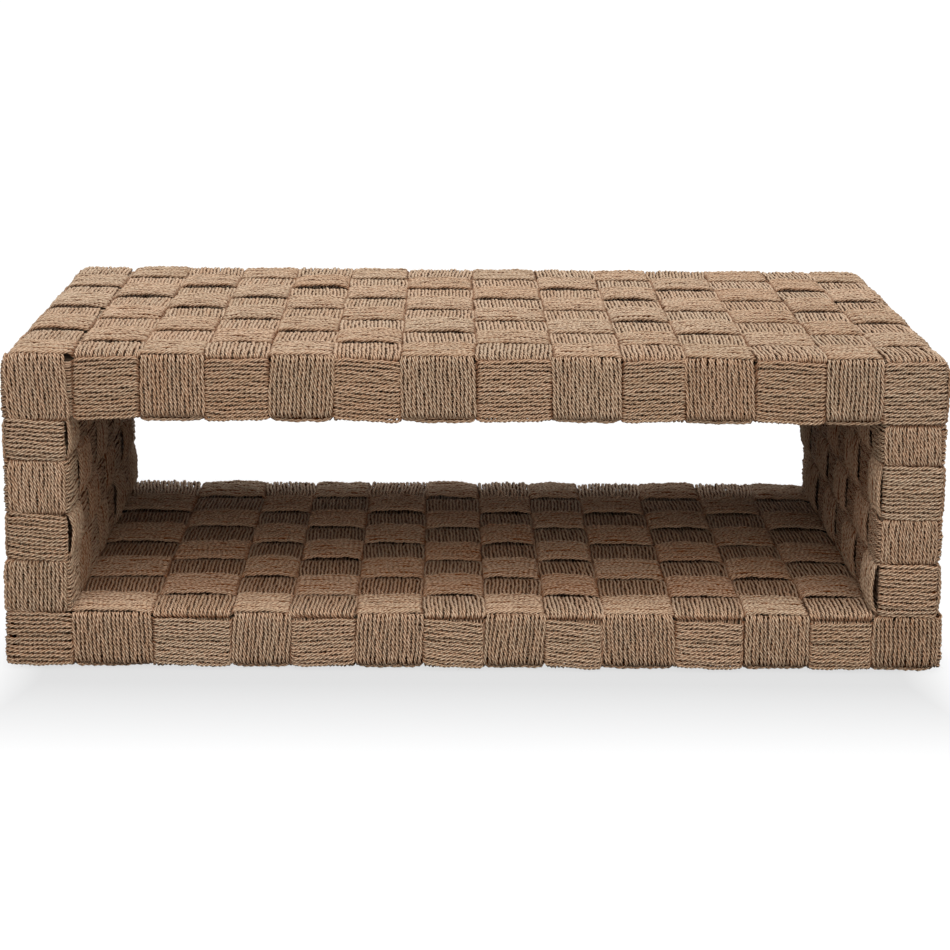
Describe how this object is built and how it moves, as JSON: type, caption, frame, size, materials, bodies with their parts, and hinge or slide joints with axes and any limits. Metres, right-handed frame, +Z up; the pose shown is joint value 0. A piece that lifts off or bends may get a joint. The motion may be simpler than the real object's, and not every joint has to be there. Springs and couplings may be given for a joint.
{
  "type": "woven cord coffee table",
  "caption": "Low rectangular coffee table shaped as a box tunnel open at the front and back, covered in broad bands of twisted natural cord woven in a checker.",
  "frame": {"origin": "on the floor, under the middle of the table", "axes": "+X to the table's right as the front is looked at, +Y to the back, +Z up"},
  "size_m": [1.22, 0.7, 0.424],
  "materials": {
    "twisted_cord": "matt twisted plant fibre cord, tan brown, with loose hairs",
    "core_panel": "plain unfinished wood, hidden under the cord",
    "glide": "dark matt plastic"
  },
  "bodies": {
    "root": {"top_core_panel": "core_panel", "base_core_panel": "core_panel", "left_side_core_panel": "core_panel", "right_side_core_panel": "core_panel", "glide_front_left": "glide", "glide_front_right": "glide", "glide_back_left": "glide", "glide_back_right": "glide", "outer_across_band_1": "twisted_cord", "outer_across_band_2": "twisted_cord", "outer_across_band_3": "twisted_cord", "outer_across_band_4": "twisted_cord", "outer_across_band_5": "twisted_cord", "outer_across_band_6": "twisted_cord", "outer_across_band_7": "twisted_cord", "outer_across_band_8": "twisted_cord", "inner_across_band_1": "twisted_cord", "inner_across_band_2": "twisted_cord", "inner_across_band_3": "twisted_cord", "inner_across_band_4": "twisted_cord", "inner_across_band_5": "twisted_cord", "inner_across_band_6": "twisted_cord", "inner_across_band_7": "twisted_cord", "inner_across_band_8": "twisted_cord", "left_end_band": "twisted_cord", "right_end_band": "twisted_cord", "top_slab_band_2": "twisted_cord", "top_slab_band_3": "twisted_cord", "top_slab_band_4": "twisted_cord", "top_slab_band_5": "twisted_cord", "top_slab_band_6": "twisted_cord", "top_slab_band_7": "twisted_cord", "top_slab_band_8": "twisted_cord", "top_slab_band_9": "twisted_cord", "top_slab_band_10": "twisted_cord", "top_slab_band_11": "twisted_cord", "top_slab_band_12": "twisted_cord", "top_slab_band_13": "twisted_cord", "base_slab_band_2": "twisted_cord", "base_slab_band_3": "twisted_cord", "base_slab_band_4": "twisted_cord", "base_slab_band_5": "twisted_cord", "base_slab_band_6": "twisted_cord", "base_slab_band_7": "twisted_cord", "base_slab_band_8": "twisted_cord", "base_slab_band_9": "twisted_cord", "base_slab_band_10": "twisted_cord", "base_slab_band_11": "twisted_cord", "base_slab_band_12": "twisted_cord", "base_slab_band_13": "twisted_cord", "top_girth_band": "twisted_cord", "base_girth_band": "twisted_cord", "left_leg_band_2": "twisted_cord", "left_leg_band_3": "twisted_cord", "left_leg_band_4": "twisted_cord", "left_leg_band_5": "twisted_cord", "right_leg_band_2": "twisted_cord", "right_leg_band_3": "twisted_cord", "right_leg_band_4": "twisted_cord", "right_leg_band_5": "twisted_cord"}
  },
  "joints": []
}
